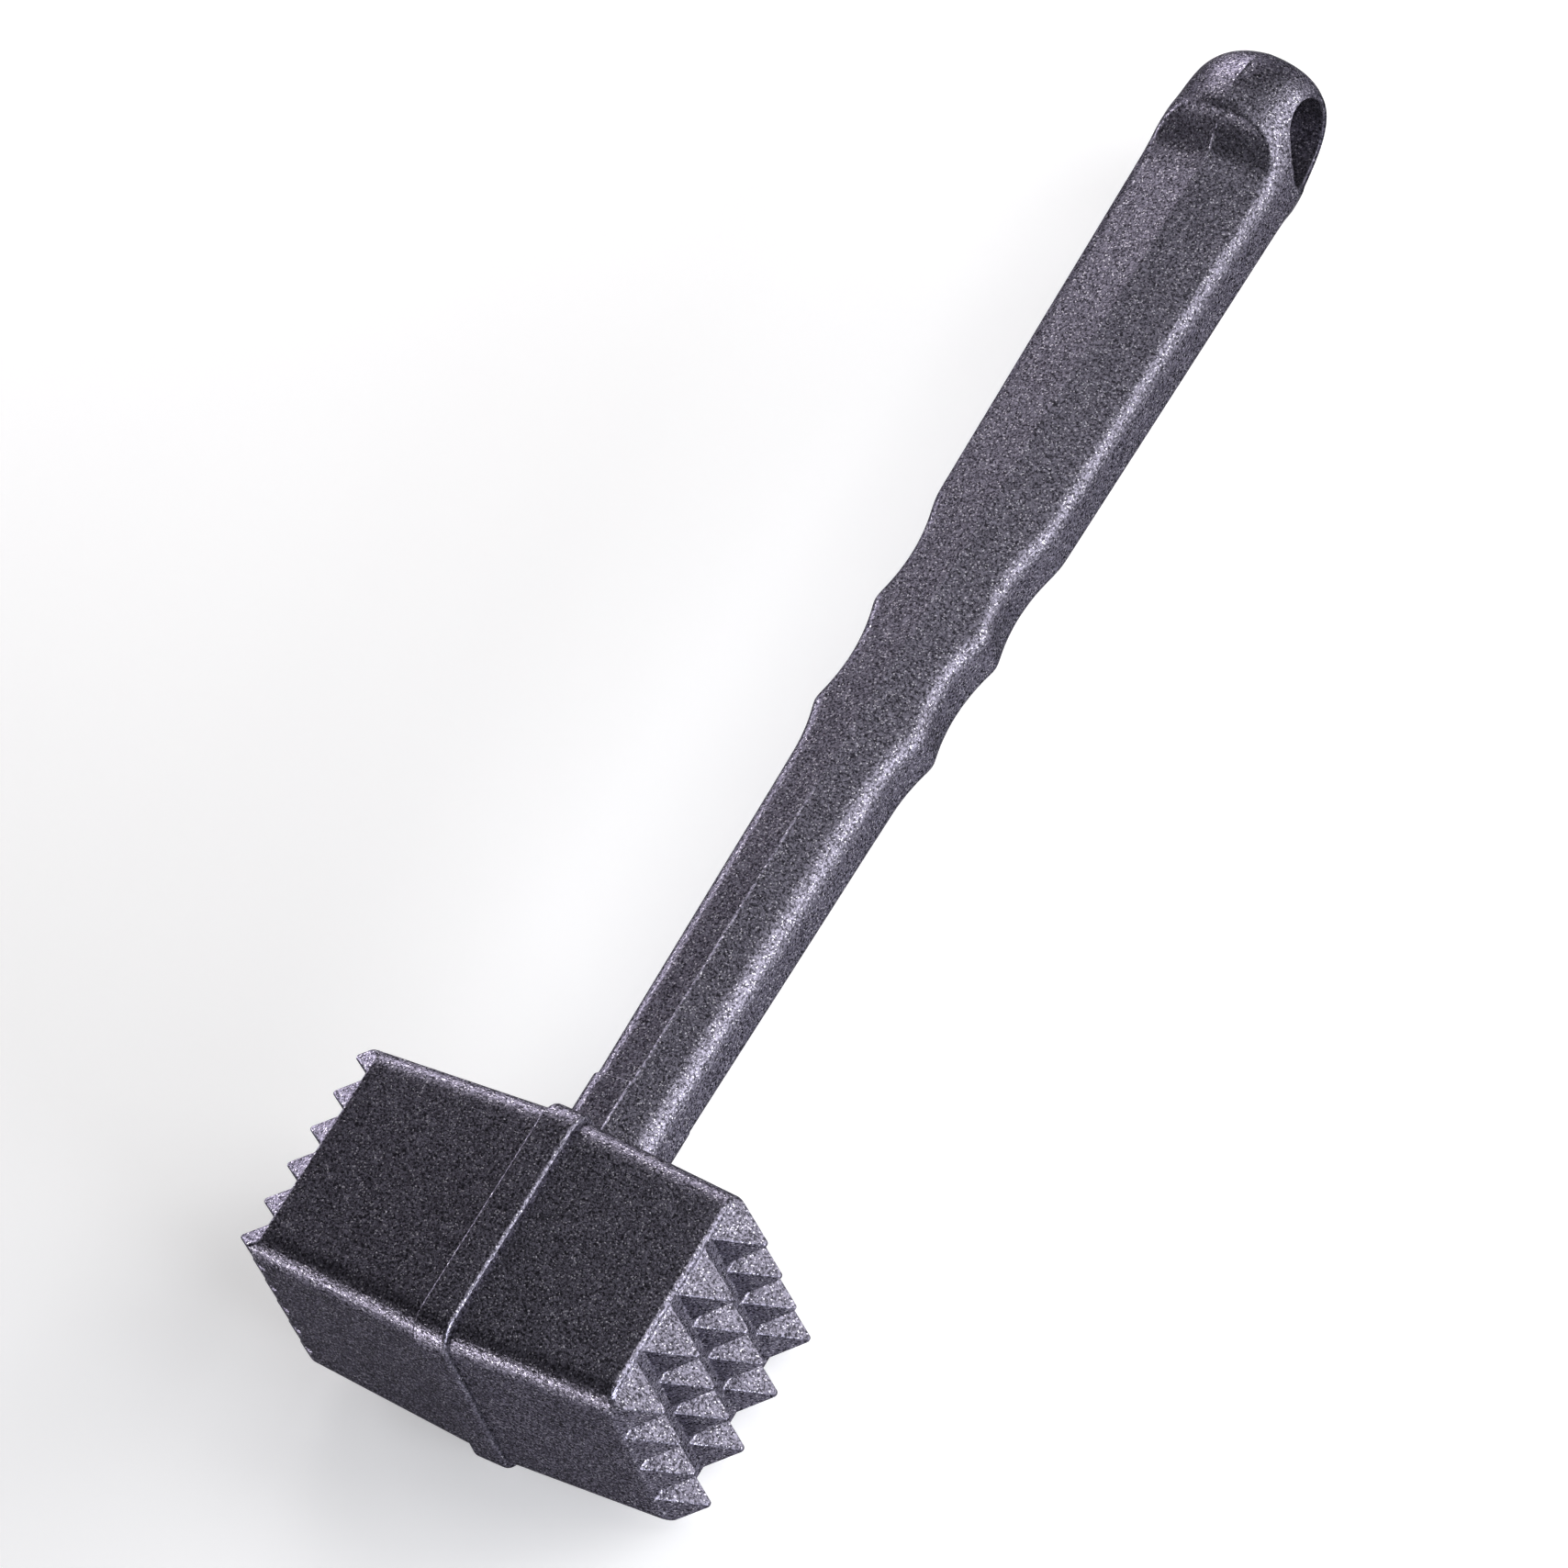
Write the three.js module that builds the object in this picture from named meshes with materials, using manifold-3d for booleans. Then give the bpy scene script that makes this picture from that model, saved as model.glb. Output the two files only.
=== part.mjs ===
import * as THREE from 'three';
import { mergeVertices } from 'three/addons/utils/BufferGeometryUtils.js';
import Module from 'manifold-3d';

// A meat mallet in millimetres, lying on its side.
// +X runs along the head to the coarse teeth, +Y up the handle to the hang hole, and +Z is up.
// The origin is on the underside of the head's centre band, below the handle's axis.

const wasm = await Module();
wasm.setup();

// Clearances and cutting overrun
const fitGap = 0.3;
const cutOverrun = 1;

// Centre band of the head
const bandWidth = 7.4;
const bandOffset = 0.7;
const bandHalfY = 27;
const bandHalfZ = 27.9;
const bandCornerRadius = 5.2;

// Flanks of the striking blocks, just below the band and at the two toothed ends
const bandProudY = 0.9;
const bandProudZ = 1.4;
const flankCornerRadius = 4;
const flankCornerSteps = 6;

const coarse = {
  reach: 46.2,
  toothHeight: 7.8,
  pitch: 12.5,
  count: 4,
  valleyWidth: 2.3,
  tipWidth: 0.9,
  halfY: 24.3,
  halfZ: 25.4,
};
const fine = {
  reach: 45.9,
  toothHeight: 5.6,
  pitch: 8.33,
  count: 6,
  valleyWidth: 1.5,
  tipWidth: 0.7,
  halfY: 23.7,
  halfZ: 25.1,
};

// Core of the yoke inside the blocks, under a wall of this thickness
const coreReach = 8;
const blockWall = 12;

// Collar round the foot of the handle, and how far its stem and the handle's tang lie inside it
const collarHeight = 15.3;
const collarStep = 0.45;
const collarShift = -0.25;
const stemInset = 2.2;
const tangInset = 3.3;
const tangLength = 12;

// Steel studs
const tieStudRadius = 5;
const tieStudCover = 10.4;
const handleStudRadius = 3;
const handleStudLength = 52;
const studSpacing = 4.7;
const studSides = 24;

// Handle, where the shank leaves the collar and along the grip
const shankLength = 77;
const gripLength = 89;
const shankHalfWidth = 9.5;
const shankHalfRidge = 8.5;
const shankHalfSide = 2.8;
const gripHalfRidge = 9.8;
const gripHalfSide = 4.6;
const facetSlopeShare = 0.19;

// Finger crests on both sides of the handle
const crestPitch = 24.7;
const crestCount = 3;
const grooveDepth = 1.95;
const firstCrestHalfWidth = 12.6;
const lastCrestHalfWidth = 13.4;

// Flared end and hang hole
const gripEndHalfWidth = 15.1;
const flareLength = 13;
const endLength = 18.2;
const endHalfWidth = 15.1;
const endHalfThickness = 17.1;
const domeExponent = 2.6;
const holeSetback = 3.6;
const holeHalfY = 7.8;
const holeHalfZ = 10.3;
const holeSides = 36;

const grooveSteps = 10;
const flareSteps = 8;
const domeSteps = 8;
const filletSteps = 4;

// Values that follow from the sizes above
const axisZ = bandHalfZ;
const bandLowX = bandOffset - bandWidth / 2;
const bandHighX = bandOffset + bandWidth / 2;
const flankRootHalfY = bandHalfY - bandProudY;
const flankRootHalfZ = bandHalfZ - bandProudZ;
const coreHalf = bandHalfY - blockWall;
const coarseFloorX = coarse.reach - coarse.toothHeight;
const fineFloorX = fine.reach - fine.toothHeight;
const collarTopY = bandHalfY + collarHeight;
const stemHalfX = shankHalfWidth - stemInset;
const stemHalfZ = shankHalfRidge - stemInset;
const tangHalfX = shankHalfWidth - tangInset;
const tangHalfZ = shankHalfRidge - tangInset;
const handleStudBottomY = tieStudRadius + fitGap + studSpacing;
const handleStudTopY = handleStudBottomY + handleStudLength;
const shankEndY = collarTopY + shankLength;
const firstCrestY = shankEndY + crestPitch / 2;
const lastCrestY = firstCrestY + (crestCount - 1) * crestPitch;
const gripEndY = lastCrestY + gripLength;
const flareEndY = gripEndY + flareLength;
const endY = flareEndY + endLength;
const holeY = flareEndY + holeSetback;

function coatingMaterial() {
  return new THREE.MeshStandardMaterial({ color: 0x45434b, roughness: 0.5, metalness: 0.6 });
}

function steelMaterial() {
  return new THREE.MeshStandardMaterial({ color: 0xb4b6ba, roughness: 0.35, metalness: 1 });
}

function solidFromGeometry(geometry) {
  const plain = geometry.index ? geometry.toNonIndexed() : geometry.clone();
  plain.deleteAttribute('normal');
  plain.deleteAttribute('uv');
  const merged = mergeVertices(plain);
  const mesh = new wasm.Mesh({
    numProp: 3,
    vertProperties: new Float32Array(merged.attributes.position.array),
    triVerts: new Uint32Array(merged.index.array),
  });
  return new wasm.Manifold(mesh);
}

function meshFromSolid(name, solid, material) {
  const data = solid.getMesh();
  const geometry = new THREE.BufferGeometry();
  geometry.setAttribute('position', new THREE.BufferAttribute(new Float32Array(data.vertProperties), 3));
  geometry.setIndex(new THREE.BufferAttribute(new Uint32Array(data.triVerts), 1));
  geometry.computeVertexNormals();
  const mesh = new THREE.Mesh(geometry, material);
  mesh.name = name;
  return mesh;
}

// A closed body through rings of equal point count, capped flat at both ends
function loftSolid(rings) {
  const count = rings[0].length;
  const positions = [];
  const index = [];
  for (const ring of rings) {
    for (const point of ring) positions.push(point.x, point.y, point.z);
  }
  for (let i = 0; i + 1 < rings.length; i += 1) {
    for (let k = 0; k < count; k += 1) {
      const a = i * count + k;
      const b = i * count + ((k + 1) % count);
      index.push(a, b, b + count, a, b + count, a + count);
    }
  }
  const lastRing = (rings.length - 1) * count;
  for (let k = 1; k + 1 < count; k += 1) {
    index.push(0, k + 1, k);
    index.push(lastRing, lastRing + k, lastRing + k + 1);
  }
  const geometry = new THREE.BufferGeometry();
  geometry.setAttribute('position', new THREE.Float32BufferAttribute(positions, 3));
  geometry.setIndex(index);
  return solidFromGeometry(geometry);
}

function boxSolid(low, high) {
  const size = new THREE.Vector3().subVectors(high, low);
  const centre = new THREE.Vector3().addVectors(high, low).multiplyScalar(0.5);
  const geometry = new THREE.BoxGeometry(size.x, size.y, size.z);
  geometry.translate(centre.x, centre.y, centre.z);
  return solidFromGeometry(geometry);
}

function rodAlongX(radius, lowX, highX) {
  const geometry = new THREE.CylinderGeometry(radius, radius, highX - lowX, studSides);
  geometry.rotateZ(Math.PI / 2);
  geometry.translate((lowX + highX) / 2, 0, axisZ);
  return solidFromGeometry(geometry);
}

function rodAlongY(radius, lowY, highY) {
  const geometry = new THREE.CylinderGeometry(radius, radius, highY - lowY, studSides);
  geometry.translate(0, (lowY + highY) / 2, axisZ);
  return solidFromGeometry(geometry);
}

// Rounded rectangle in the YZ plane at x, counted round from +Y towards +Z
function headRing(x, halfY, halfZ, radius) {
  const ring = [];
  for (const [signY, signZ, start] of [[1, 1, 0], [-1, 1, 1], [-1, -1, 2], [1, -1, 3]]) {
    for (let k = 0; k <= flankCornerSteps; k += 1) {
      const angle = (start + k / flankCornerSteps) * Math.PI / 2;
      const y = signY * (halfY - radius) + radius * Math.cos(angle);
      const z = signZ * (halfZ - radius) + radius * Math.sin(angle);
      ring.push(new THREE.Vector3(x, y, axisZ + z));
    }
  }
  return ring;
}

function squareRing(x, y, z, half) {
  return [[1, 1], [-1, 1], [-1, -1], [1, -1]].map(
    ([signY, signZ]) => new THREE.Vector3(x, y + signY * half, z + signZ * half),
  );
}

// Pyramid teeth with blunt tips on a slab, towards +X
function toothField(side, rootX, floorX) {
  const margin = cutOverrun * 2;
  const low = new THREE.Vector3(rootX - margin, -bandHalfY - margin, axisZ - bandHalfZ - margin);
  const high = new THREE.Vector3(floorX, bandHalfY + margin, axisZ + bandHalfZ + margin);
  let field = boxSolid(low, high);
  const baseHalf = (side.pitch - side.valleyWidth) / 2;
  const middle = (side.count - 1) / 2;
  for (let row = 0; row < side.count; row += 1) {
    for (let column = 0; column < side.count; column += 1) {
      const y = (row - middle) * side.pitch;
      const z = axisZ + (column - middle) * side.pitch;
      field = field.add(loftSolid([
        squareRing(floorX - cutOverrun, y, z, baseHalf),
        squareRing(floorX, y, z, baseHalf),
        squareRing(side.reach, y, z, side.tipWidth / 2),
      ]));
    }
  }
  return field;
}

// One striking block, built towards +X from the band's face at rootX to the tooth floor
function strikingBlock(side, rootX, floorX) {
  const draftY = (flankRootHalfY - side.halfY) / (floorX - rootX);
  const draftZ = (flankRootHalfZ - side.halfZ) / (floorX - rootX);
  const topX = side.reach + cutOverrun;
  const overshoot = topX - floorX;
  const body = loftSolid([
    headRing(rootX, flankRootHalfY, flankRootHalfZ, flankCornerRadius),
    headRing(topX, side.halfY - draftY * overshoot, side.halfZ - draftZ * overshoot, flankCornerRadius),
  ]);
  const pocketHalf = coreHalf + fitGap;
  const pocket = boxSolid(
    new THREE.Vector3(rootX - cutOverrun, -pocketHalf, axisZ - pocketHalf),
    new THREE.Vector3(rootX + coreReach + fitGap, pocketHalf, axisZ + pocketHalf),
  );
  const notch = boxSolid(
    new THREE.Vector3(rootX - cutOverrun, 0, axisZ - stemHalfZ - fitGap),
    new THREE.Vector3(stemHalfX + fitGap, bandHalfY + cutOverrun, axisZ + stemHalfZ + fitGap),
  );
  const boreEndX = floorX - tieStudCover + fitGap;
  const bore = rodAlongX(tieStudRadius + fitGap, rootX - cutOverrun, boreEndX);
  return body.intersect(toothField(side, rootX, floorX)).subtract(pocket).subtract(notch).subtract(bore);
}

// Half-width of the handle at y: shank, finger grooves between crests, then the grip
function handleHalfWidth(y) {
  const crestSlope = (lastCrestHalfWidth - firstCrestHalfWidth) / (lastCrestY - firstCrestY);
  const crestLine = (at) => firstCrestHalfWidth + crestSlope * (at - firstCrestY);
  if (y < shankEndY) {
    const shankEndHalfWidth = crestLine(shankEndY) - grooveDepth;
    return THREE.MathUtils.mapLinear(y, collarTopY, shankEndY, shankHalfWidth, shankEndHalfWidth);
  }
  if (y < lastCrestY) {
    const across = (((y - shankEndY) / crestPitch + 0.5) % 1) * 2 - 1;
    return crestLine(y) - grooveDepth * (1 - across * across);
  }
  return THREE.MathUtils.mapLinear(y, lastCrestY, gripEndY, lastCrestHalfWidth, gripEndHalfWidth);
}

// Share of the way from the shank's section to the grip's section
function gripShare(y) {
  return THREE.MathUtils.clamp((y - collarTopY) / (lastCrestY - collarTopY), 0, 1);
}

// Six-sided section with rounded side corners, grown by extra on every side
function handleSection(y, extra) {
  const share = gripShare(y);
  const halfWidth = handleHalfWidth(y) + extra;
  const halfRidge = THREE.MathUtils.lerp(shankHalfRidge, gripHalfRidge, share) + extra;
  const halfSide = THREE.MathUtils.lerp(shankHalfSide, gripHalfSide, share);
  const facetAngle = Math.atan(facetSlopeShare);
  const edgeHeight = halfRidge - halfSide - facetSlopeShare * halfWidth;
  const fillet = edgeHeight / (1 / Math.cos(facetAngle) - facetSlopeShare);
  const quarter = [];
  for (let k = 0; k <= filletSteps; k += 1) {
    const angle = (k / filletSteps) * (Math.PI / 2 - facetAngle);
    quarter.push([halfWidth - fillet + fillet * Math.cos(angle), halfSide + fillet * Math.sin(angle)]);
  }
  const facetEnd = quarter[filletSteps];
  quarter.push([facetEnd[0] / 2, (facetEnd[1] + halfRidge) / 2]);
  const upper = [[halfWidth, 0], ...quarter, [0, halfRidge]];
  const left = [...quarter].reverse().map(([x, z]) => [-x, z]);
  const half = [...upper, ...left];
  return [...half, ...half.map(([x, z]) => [-x, -z])];
}

function sectionRing(y, section, shiftX) {
  return section.map(([x, z]) => new THREE.Vector3(x + shiftX, y, axisZ - z));
}

// Section of the flared end: the grip's section turned into an ellipse by share, then shrunk by scale
function endSection(share, scale) {
  const base = handleSection(gripEndY, 0);
  return base.map(([x, z]) => {
    const angle = Math.atan2(z / gripHalfRidge, x / gripEndHalfWidth);
    const blendX = THREE.MathUtils.lerp(x, endHalfWidth * Math.cos(angle), share);
    const blendZ = THREE.MathUtils.lerp(z, endHalfThickness * Math.sin(angle), share);
    return [blendX * scale, blendZ * scale];
  });
}

function handleRings() {
  const rings = [sectionRing(collarTopY, handleSection(collarTopY, 0), 0)];
  const stations = Math.round(grooveSteps * (crestCount - 0.5));
  for (let k = 0; k <= stations; k += 1) {
    const y = shankEndY + (k / stations) * (lastCrestY - shankEndY);
    rings.push(sectionRing(y, handleSection(y, 0), 0));
  }
  for (let k = 0; k <= flareSteps; k += 1) {
    const share = THREE.MathUtils.smoothstep(k, 0, flareSteps);
    rings.push(sectionRing(gripEndY + (k / flareSteps) * flareLength, endSection(share, 1), 0));
  }
  for (let k = 1; k <= domeSteps; k += 1) {
    const angle = (k / (domeSteps + 0.5)) * Math.PI / 2;
    const along = Math.sin(angle) ** (2 / domeExponent);
    const scale = Math.cos(angle) ** (2 / domeExponent);
    rings.push(sectionRing(flareEndY + along * (endY - flareEndY), endSection(1, scale), 0));
  }
  return rings;
}

function hangHole() {
  const reach = gripEndHalfWidth + cutOverrun;
  const geometry = new THREE.CylinderGeometry(1, 1, 2 * reach, holeSides);
  geometry.rotateZ(Math.PI / 2);
  geometry.scale(1, holeHalfY, holeHalfZ);
  geometry.translate(0, holeY, axisZ);
  return solidFromGeometry(geometry);
}

function makeHandle() {
  const tang = boxSolid(
    new THREE.Vector3(-tangHalfX, collarTopY - tangLength, axisZ - tangHalfZ),
    new THREE.Vector3(tangHalfX, collarTopY + cutOverrun, axisZ + tangHalfZ),
  );
  const boreBottomY = collarTopY - tangLength - cutOverrun;
  const bore = rodAlongY(handleStudRadius + fitGap, boreBottomY, handleStudTopY + fitGap);
  return loftSolid(handleRings()).subtract(hangHole()).add(tang).subtract(bore);
}

function makeYoke() {
  const band = loftSolid([
    headRing(bandLowX, bandHalfY, bandHalfZ, bandCornerRadius),
    headRing(bandHighX, bandHalfY, bandHalfZ, bandCornerRadius),
  ]);
  const core = boxSolid(
    new THREE.Vector3(bandLowX - coreReach, -coreHalf, axisZ - coreHalf),
    new THREE.Vector3(bandHighX + coreReach, coreHalf, axisZ + coreHalf),
  );
  const stem = boxSolid(
    new THREE.Vector3(-stemHalfX, 0, axisZ - stemHalfZ),
    new THREE.Vector3(stemHalfX, bandHalfY, axisZ + stemHalfZ),
  );
  const collarBottomY = flankRootHalfY + fitGap;
  const collarSection = handleSection(collarTopY, collarStep);
  const collar = loftSolid([
    sectionRing(collarBottomY, collarSection, collarShift),
    sectionRing(collarTopY, collarSection, collarShift),
  ]);
  const socketBottomY = collarTopY - tangLength - fitGap;
  const socket = boxSolid(
    new THREE.Vector3(-tangHalfX - fitGap, socketBottomY, axisZ - tangHalfZ - fitGap),
    new THREE.Vector3(tangHalfX + fitGap, collarTopY + cutOverrun, axisZ + tangHalfZ + fitGap),
  );
  const tieBore = rodAlongX(
    tieStudRadius + fitGap,
    bandLowX - coreReach - cutOverrun,
    bandHighX + coreReach + cutOverrun,
  );
  const handleBore = rodAlongY(
    handleStudRadius + fitGap,
    handleStudBottomY - fitGap,
    socketBottomY + cutOverrun,
  );
  return band.add(core).add(stem).add(collar).subtract(socket).subtract(tieBore).subtract(handleBore);
}

function makeCoarseBlock() {
  return strikingBlock(coarse, bandHighX, coarseFloorX);
}

function makeFineBlock() {
  return strikingBlock(fine, -bandLowX, fineFloorX).mirror([1, 0, 0]);
}

function makeTieStud() {
  return rodAlongX(tieStudRadius, tieStudCover - fineFloorX, coarseFloorX - tieStudCover);
}

function makeHandleStud() {
  return rodAlongY(handleStudRadius, handleStudBottomY, handleStudTopY);
}

const mallet = new THREE.Group();
mallet.add(meshFromSolid('handle', makeHandle(), coatingMaterial()));
mallet.add(meshFromSolid('head_yoke', makeYoke(), coatingMaterial()));
mallet.add(meshFromSolid('coarse_block', makeCoarseBlock(), coatingMaterial()));
mallet.add(meshFromSolid('fine_block', makeFineBlock(), coatingMaterial()));
mallet.add(meshFromSolid('tie_stud', makeTieStud(), steelMaterial()));
mallet.add(meshFromSolid('handle_stud', makeHandleStud(), steelMaterial()));

export default mallet;
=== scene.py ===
import math

import bmesh
import bpy
import numpy as np
from mathutils import Matrix, Vector
from mathutils.geometry import delaunay_2d_cdt


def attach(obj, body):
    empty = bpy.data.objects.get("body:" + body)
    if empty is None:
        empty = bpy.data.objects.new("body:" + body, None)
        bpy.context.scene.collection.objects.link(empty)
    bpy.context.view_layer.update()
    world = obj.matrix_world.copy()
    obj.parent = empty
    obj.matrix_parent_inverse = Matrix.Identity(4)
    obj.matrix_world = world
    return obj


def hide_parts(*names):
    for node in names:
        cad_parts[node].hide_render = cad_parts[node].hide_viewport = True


# Looks of the meat mallet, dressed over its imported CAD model, in the CAD's frame:
# +X along the head to the coarse teeth, +Y up the handle to the hang hole, +Z up from the table.
# Shapes are worked out in millimetres from the handle's axis and written as metres.

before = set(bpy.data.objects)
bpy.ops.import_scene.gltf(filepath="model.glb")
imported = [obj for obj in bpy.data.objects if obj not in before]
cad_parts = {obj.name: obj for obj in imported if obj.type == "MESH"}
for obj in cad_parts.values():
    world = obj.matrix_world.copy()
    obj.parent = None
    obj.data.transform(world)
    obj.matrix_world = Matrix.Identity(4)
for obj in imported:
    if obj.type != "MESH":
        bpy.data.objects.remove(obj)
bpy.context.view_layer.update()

MM = 0.001

# Camera that took the photograph, worked out from the two tooth grids
PHOTO_PIXELS = 1708
FOCAL_PIXELS = 7941.15
SENSOR_WIDTH_MM = 36
CAMERA_PLACE = (0.58472, -0.41075, 1.18924)
CAMERA_RIGHT = (0.84478, 0.49196, -0.21054)
CAMERA_DOWN = (0.32750, -0.78648, -0.52364)
CAMERA_AHEAD = (-0.42320, 0.37340, -0.82551)
CAMERA_REACH = 10

# Head: centre band, which the mallet lies on, so its half-height sets the axis's height
BAND_LOW_X = -3.0
BAND_HIGH_X = 4.4
BAND_HALF_Y = 27.0
BAND_HALF_Z = 27.9
AXIS_Z = BAND_HALF_Z
BAND_CORNER = 5.9
BAND_LOW_ROUND = 0.7
BAND_HIGH_ROUND = 0.85
BAND_DEPTH = 3.0
EDGE_STEPS = 5

# Head: flanks of the striking blocks where they meet the band
ROOT_HALF_Y = 26.1
ROOT_HALF_Z = 26.5
ROOT_CENTRE_X = (BAND_LOW_X + BAND_HIGH_X) / 2
FLANK_CORNER = 5.0
CORNER_STEPS = 10
SIDE_STEPS = 24

COARSE = {
    "side": 1,
    "floor": 38.4,
    "tip": 46.15,
    "pitch": 12.5,
    "count": 4,
    "valley": 2.3,
    "tip_width": 0.9,
    "half_y": 24.3,
    "half_z": 25.4,
    "rim_y": 0.3,
    "rim_z": 1.0,
    "valley_round": 0.55,
    "tip_round": 0.3,
    "hip_round": 0.35,
}
FINE = {
    "side": -1,
    "floor": 40.3,
    "tip": 45.85,
    "pitch": 8.33,
    "count": 6,
    "valley": 1.5,
    "tip_width": 0.7,
    "half_y": 23.7,
    "half_z": 25.1,
    "rim_y": 0.3,
    "rim_z": 0.55,
    "valley_round": 0.4,
    "tip_round": 0.25,
    "hip_round": 0.3,
}
TOOTH_ARC_SHARES = (0, 0.33, 0.67, 1)
HIP_LINE_SHARES = (0, 0.5, 1)
RIM_ARC_DEG = (0, 18, 36, 54, 72, 90)
RIM_POWER = 1.7
WELD_MM = 0.002

# Fine bead left by the two halves of the mould
BEAD_HEIGHT = 0.1
BEAD_HALF_WIDTH = 0.16
BEAD_FADE_START = 105
BEAD_FADE_END = 125
BEAD_GRIP_SHARE = 0.3
BEAD_KNOB_SHARE = 0.8
BEAD_KNOB_START = 246
BEAD_KNOB_END = 262

# Collar
COLLAR_TOP = 42.3
COLLAR_GROW_X = 0.45
COLLAR_GROW_Z = 0.15
COLLAR_SHIFT = -0.25
COLLAR_FOOT = 20.0
COLLAR_ROUND = 0.4

# Handle
SHANK_END = 119.3
CREST_PITCH = 24.7
CREST_COUNT = 3
GROOVE_DEPTH = 1.95
CREST_ROUND = 0.8
SHANK_HALF_WIDTH = 9.55
FIRST_CREST_HALF_WIDTH = 12.75
LAST_CREST_HALF_WIDTH = 13.55
GRIP_END = 270.0
GRIP_HALF_WIDTH = 15.25
FACET_SLOPE = 0.19

# Half-heights of the handle's ridge and of its upright sides, each at a place along Y
RIDGE_PROFILE = (
    (20, 8.5),
    (50, 8.5),
    (90, 9.0),
    (165, 9.05),
    (190, 9.35),
    (230, 9.8),
    (302, 9.8),
)
SIDE_PROFILE = (
    (20, 2.7),
    (110, 2.9),
    (160, 3.7),
    (200, 3.6),
    (302, 3.3),
)

# Flared end: a bulb round the hang hole, cut in front by a cove that runs up from each facet
BULB_Y = 283.0
BULB_HALF_HEIGHT = 16.9
BULB_BACK = 10.0
BULB_BACK_LIMIT = 3.35
BULB_FRONT = 18.2
BULB_FRONT_POWER = 2.3
BULB_SECTION_POWER = 2.1
BULB_FOOT_POWER = 2.9
BULB_FOOT_START = 274
BULB_FOOT_END = 284
BULB_ROOF_SLOPE = 0.1
END_ROUND_POWER = 2.8
COVE_START = 268.0
COVE_RADIUS = 14.0
COVE_EASE = 4.0
CREST_SOFTNESS = 0.15
FLARE_SOFTNESS = 0.9
FLARE_SIDE_SOFTNESS = 2.0
FLARE_SIDE_START = 8
FLARE_SIDE_END = 13
BAR_FADE_START = 276
BAR_FADE_END = 290

# Hang hole
HOLE_Y = 287.55
HOLE_HALF_Y = 8.8
HOLE_HALF_Z = 9.5
HOLE_ROUND = 1.2
HOLE_SIDES = 96
HOLE_FLARE_SHARES = (0.92, 0.75, 0.55, 0.35, 0.18, 0.06, 0)
HOLE_OVERRUN = 3.0

# Coat: colours, and scales in features per metre
COAT_COLOUR = (0.138, 0.130, 0.164)
FLAKE_COLOUR = (0.58, 0.56, 0.63, 1)
COAT_METALLIC = 0.9
COAT_EDGE_TINT = (0.06, 0.06, 0.07, 1)
GRAIN_SCALE = 2100
GRAIN_DETAIL = 1.5
GRAIN_ROUGHNESS = 0.6
GRAIN_DISTORTION = 0.7
GRAIN_DEPTH = 0.0001
# Painted shade and light on the grain: the bump's height noise darkens the coat's colour where it
# is low and lightens it where it is high
GRAIN_SPREAD = (0.38, 0.66)
GRAIN_SHADE_RANGE = (0.24, 1.8)
FLAKE_SCALE = 4200
FLAKE_SHARE = 0.045
MOTTLE_SCALE = 260
MOTTLE_DETAIL = 3.0
MOTTLE_RANGE = (0.86, 1.14)
ROUGHNESS_RANGE = (0.31, 0.41)

# Turned steel of the two hidden studs: lines per metre along each stud's own axis
STEEL_DARK = (0.46, 0.45, 0.44, 1)
STEEL_LIGHT = (0.68, 0.67, 0.66, 1)
STEEL_ROUGHNESS = (0.26, 0.44)
STEEL_LINE_DEPTH = 0.00002
STEEL_LINE_DETAIL = 3.0
STUD_LINES = {"tie_stud": (5200, 160, 160), "handle_stud": (160, 5200, 160)}

# Studio
FLOOR_COLOUR = (0.8, 0.8, 0.8, 1)
FLOOR_ROUGHNESS = 0.9
FLOOR_GLOW = 0.35
FLOOR_HALF = 6.0
HORIZON_COLOUR = (0.1, 0.1, 0.1, 1)
ZENITH_COLOUR = (0.02, 0.02, 0.024, 1)
HORIZON_RISE = 0.45

# Lamps: azimuth and elevation in degrees; distance, width and height in metres; the place
# along Y that each one faces, in metres; radiance; colour
LAMPS = {
    "right_low_box": (-12, 9, 0.38, 0.2, 0.1, 0.0, 25, (0.9, 0.93, 1)),
    "right_shank_box": (21, 12, 0.8, 0.4, 0.25, 0.03, 8.9, (1, 1, 1)),
    "right_grip_box": (26, 36, 0.8, 0.4, 0.3, 0.24, 4.0, (1, 1, 1)),
    "right_head_box": (28, 50, 0.6, 0.3, 0.25, -0.02, 3.8, (1, 1, 1)),
    "right_knob_box": (48, 12, 0.7, 0.34, 0.18, 0.28, 8, (1, 1, 1)),
    "high_box": (82, 66, 0.9, 0.35, 0.3, 0.13, 2.5, (1, 1, 1)),
    "back_low_box": (117, 11, 1.0, 0.4, 0.3, 0.0, 9.5, (1, 0.97, 0.98)),
    "back_left_box": (150, 38, 0.7, 0.3, 0.25, 0.24, 2, (1, 0.97, 0.98)),
    "left_box": (165, 8, 0.75, 0.3, 0.15, 0.03, 15, (1, 0.97, 1)),
    "front_left_box": (-117, 4, 0.9, 0.5, 0.15, 0.0, 18, (1, 0.97, 0.98)),
}

# Mesh: steps, and the angles in degrees above which an edge stays sharp
SHANK_STEP = 4.0
WAVE_STEP = 1.0
KNOB_STEP = 0.35
END_RINGS = 40
RAY_ZONES_DEG = ((0, 10, 2), (10, 56, 1), (56, 86, 2), (86, 90, 0.667))
HALVINGS = 40
SEARCH_MARGIN = 1.0
BODY_SHARP_DEG = 40
TOOTH_SHARP_DEG = 50


def smooth_max(a, b, width):
    share = np.clip(0.5 + 0.5 * (a - b) / width, 0, 1)
    return b + (a - b) * share + width * share * (1 - share)


def smooth_min(a, b, width):
    return -smooth_max(-a, -b, width)


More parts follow.
